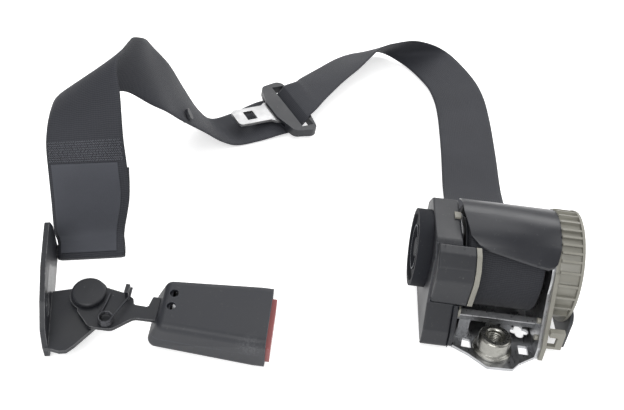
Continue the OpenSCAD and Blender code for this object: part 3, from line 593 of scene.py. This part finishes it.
# Webbing on the spool: one strip wound in a spiral, each turn a little out of line
PITCH = 1.3 * MM
TURN_STEPS = 48
FIRST_LIFT = 0.7 * MM
LAST_GAP = 0.9 * MM
ROLL_SIDE_GAP = 0.3 * MM
DRIFT = 0.22 * MM
turns = (ROLL_R - HUB_R - LAST_GAP) / PITCH
wound_turns = [i / TURN_STEPS for i in range(int(turns * TURN_STEPS) + 1)]
normals, places = [], []
for turn in wound_turns:
    angle = 2 * math.pi * (turn - turns) + math.pi / 4
    normals.append(Vector((0, math.cos(angle), math.sin(angle))))
    places.append(SPOOL + normals[-1] * (HUB_R + FIRST_LIFT + PITCH * turn))
wound = []
for turn, normal, here, length in zip(wound_turns, normals, places, lengths(places)):
    points = []
    for v in (-1, -0.97, -0.9, 0, 0.9, 0.97, 1):
        aside = DRIFT * math.sin(turn * 2.7) + v * (BELT_W / 2 - ROLL_SIDE_GAP)
        points.append((here + Vector((aside, 0, 0)), normal, v))
    wound.append((length, points))
roll = ribbon("wound_webbing", wound, BELT_T / 2)
# Darker weave on the roll: painted shade
roll.data.materials.append(roll_cloth_shaded)
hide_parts("webbing_roll")
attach(roll, "spool")

# Woven patch on the front panel
PATCH_STEPS = 48
PATCH_LIFT = BELT_T / 2 + 0.15 * MM + LABEL_T / 2
patch_u = [LABEL_SPAN[0] + (LABEL_SPAN[1] - LABEL_SPAN[0]) * i / PATCH_STEPS for i in range(PATCH_STEPS + 1)]
patch_rows = []
for u, length in zip(patch_u, lengths([middle(u) for u in patch_u])):
    points = []
    for v in (-1, -0.98, -0.9, -0.5, 0, 0.5, 0.9, 0.98, 1):
        points.append((on_belt(u, LABEL_MIDDLE + v * LABEL_SHARE, PATCH_LIFT), facing(u), v))
    patch_rows.append((length, points))
patch = ribbon("woven_patch", patch_rows, LABEL_T / 2)
dress(patch, "belt_label")
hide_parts("belt_label")
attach(patch, "reel")

# Zigzag rows of sewing, each stitch a little off its place
SEAM = (32.05, 32.7)
SEAM_ROWS = 9
SEAM_STITCHES = 40
SEAM_HALF = 0.93
SEAM_LIFT = BELT_T / 2 + 0.02 * MM
THREAD_HALF = 0.22 * MM
stitches = []
chance = random.Random(4)
for row in range(SEAM_ROWS):
    u0, u1 = (SEAM[0] + (SEAM[1] - SEAM[0]) * (row + share) / SEAM_ROWS for share in (0.1, 0.9))
    lean = (1 if row % 2 else -1) * 0.9 / SEAM_STITCHES
    for k in range(SEAM_STITCHES):
        place = k + 0.5 * (row % 2) + chance.uniform(-0.2, 0.2)
        v = -SEAM_HALF + 2 * SEAM_HALF * place / SEAM_STITCHES
        stitches.append((on_belt(u0, v - lean, SEAM_LIFT), on_belt(u1, v + lean, SEAM_LIFT), facing(u0)))
sewing = threads("seam_stitches", stitches, THREAD_HALF)
sewing.data.materials.append(sewing_thread)
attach(sewing, "reel")

# Springs in the buckle: each is the CAD one again, carried by the buckle's body
slots = {part["node"]: part["material_slot"] for part in frame["record"]["subparts"]}
for name, joint in (("button_springs", "button_press"), ("ejector_spring", "ejector_slide")):
    solid = nodes[name]
    points = [solid.matrix_world @ v.co for v in solid.data.vertices]
    coil = new_object(name + "_coil", points, [tuple(p.vertices) for p in solid.data.polygons])
    dress(coil, slots[name])
    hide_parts(name)
    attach(coil, "buckle")
    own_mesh(coil)

# Thread in the mounting nut: a ridge of four corners, each with its radius and its height on the ridge
THREAD_R = 5.2 * MM
THREAD_PITCH = 1.5 * MM
THREAD_STEPS = 36
NUT_TOP = 13 * MM
FIRST_Z = 0.4 * MM
LAST_Z_GAP = 1.6 * MM
RIDGE_FOOT_R = THREAD_R + 0.15 * MM
RIDGE_TOP_R = THREAD_R - 0.7 * MM
RIDGE = ((RIDGE_FOOT_R, -0.6), (RIDGE_TOP_R, -0.1), (RIDGE_TOP_R, 0.1), (RIDGE_FOOT_R, 0.6))
thread_verts, thread_faces = [], []
count = int(NUT_TOP / THREAD_PITCH * THREAD_STEPS)
corners = len(RIDGE)
for i in range(count + 1):
    a = 2 * math.pi * i / THREAD_STEPS
    z = FIRST_Z + (NUT_TOP - LAST_Z_GAP) * i / count
    for r, dz in RIDGE:
        thread_verts.append((r * math.cos(a), r * math.sin(a), z + dz * MM))
for base in range(0, corners * count, corners):
    for k in range(corners):
        after = (k + 1) % corners
        thread_faces.append((base + k, base + after, base + corners + after, base + corners + k))
thread_faces.append(tuple(range(corners))[::-1])
thread_faces.append(tuple(range(corners * count, corners * count + corners)))
thread = new_object("nut_thread", thread_verts, thread_faces)
dress(thread, "zinc_plated_steel")
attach(thread, "reel")

# Floor, light and camera
FLOOR_Z = -0.8 * MM
FLOOR_HALF = 6
FLOOR_GLOW = 0.6
floor_corners = [(x * FLOOR_HALF, y * FLOOR_HALF, FLOOR_Z) for x, y in ((-1, -1), (1, -1), (1, 1), (-1, 1))]
floor = new_object("floor", floor_corners, [(0, 1, 2, 3)])
pale = Nodes("pale_floor")
rays = pale.add("ShaderNodeLightPath").outputs
mirrored = pale.math("MAXIMUM", rays["Is Glossy Ray"], rays["Is Transmission Ray"])
seen = pale.math("MAXIMUM", rays["Is Camera Ray"], mirrored)
pale.set(Base_Color=pale.mix(pale.noise(3, 2), (0.86, 0.86, 0.86), (0.88, 0.88, 0.88)), Roughness=0.9,
         Specular_IOR_Level=0.1, Emission_Color=(1, 1, 1),
         Emission_Strength=pale.math("MULTIPLY", seen, FLOOR_GLOW))
floor.data.materials.append(pale.material)


def area_light(name, at, aim, size, power):
    data = bpy.data.lights.new(name, "AREA")
    data.shape = "RECTANGLE"
    data.size, data.size_y = size
    data.energy = power
    obj = bpy.data.objects.new(name, data)
    obj.location = at
    obj.rotation_euler = (Vector(aim) - Vector(at)).to_track_quat("-Z", "Y").to_euler()
    bpy.context.scene.collection.objects.link(obj)


CENTRE = (-0.12, 0.15, 0.03)
area_light("rear_soft", (0.1, 1.2, 1.0), CENTRE, (1.6, 0.6), 9.5)
area_light("top_soft", (-0.2, 0.3, 1.5), CENTRE, (1.4, 1.0), 6.5)
area_light("front_soft", (-0.4, -1.15, 1.0), CENTRE, (1.0, 0.8), 13)
area_light("right_soft", (1.1, 0.1, 0.9), CENTRE, (0.8, 0.8), 4)

world = bpy.data.worlds.new("studio")
world.use_nodes = True
background = world.node_tree.nodes["Background"]
background.inputs["Color"].default_value = (1, 1, 1, 1)
background.inputs["Strength"].default_value = 0.4
scene = bpy.context.scene
scene.world = world
scene.view_settings.view_transform = "Standard"

down = math.radians(CAMERA_DOWN)
roll_turn = math.radians(CAMERA_ROLL)
ahead = Vector((0, math.cos(down), -math.sin(down)))
level = Vector((1, 0, 0))
upright = Vector((0, math.sin(down), math.cos(down)))
right = level * math.cos(roll_turn) + upright * math.sin(roll_turn)
up = upright * math.cos(roll_turn) - level * math.sin(roll_turn)
camera_data = bpy.data.cameras.new("camera")
camera_data.sensor_fit = "HORIZONTAL"
camera_data.sensor_width = 36
camera_data.lens = FOCAL_PIXELS / IMAGE_WIDTH * camera_data.sensor_width
camera_data.clip_start = 0.01
camera = bpy.data.objects.new("camera", camera_data)
turn = Matrix((right, up, -ahead)).transposed().to_4x4()
camera.matrix_world = Matrix.Translation(CAMERA_AT) @ turn
scene.collection.objects.link(camera)
scene.camera = camera

bpy.context.view_layer.update()
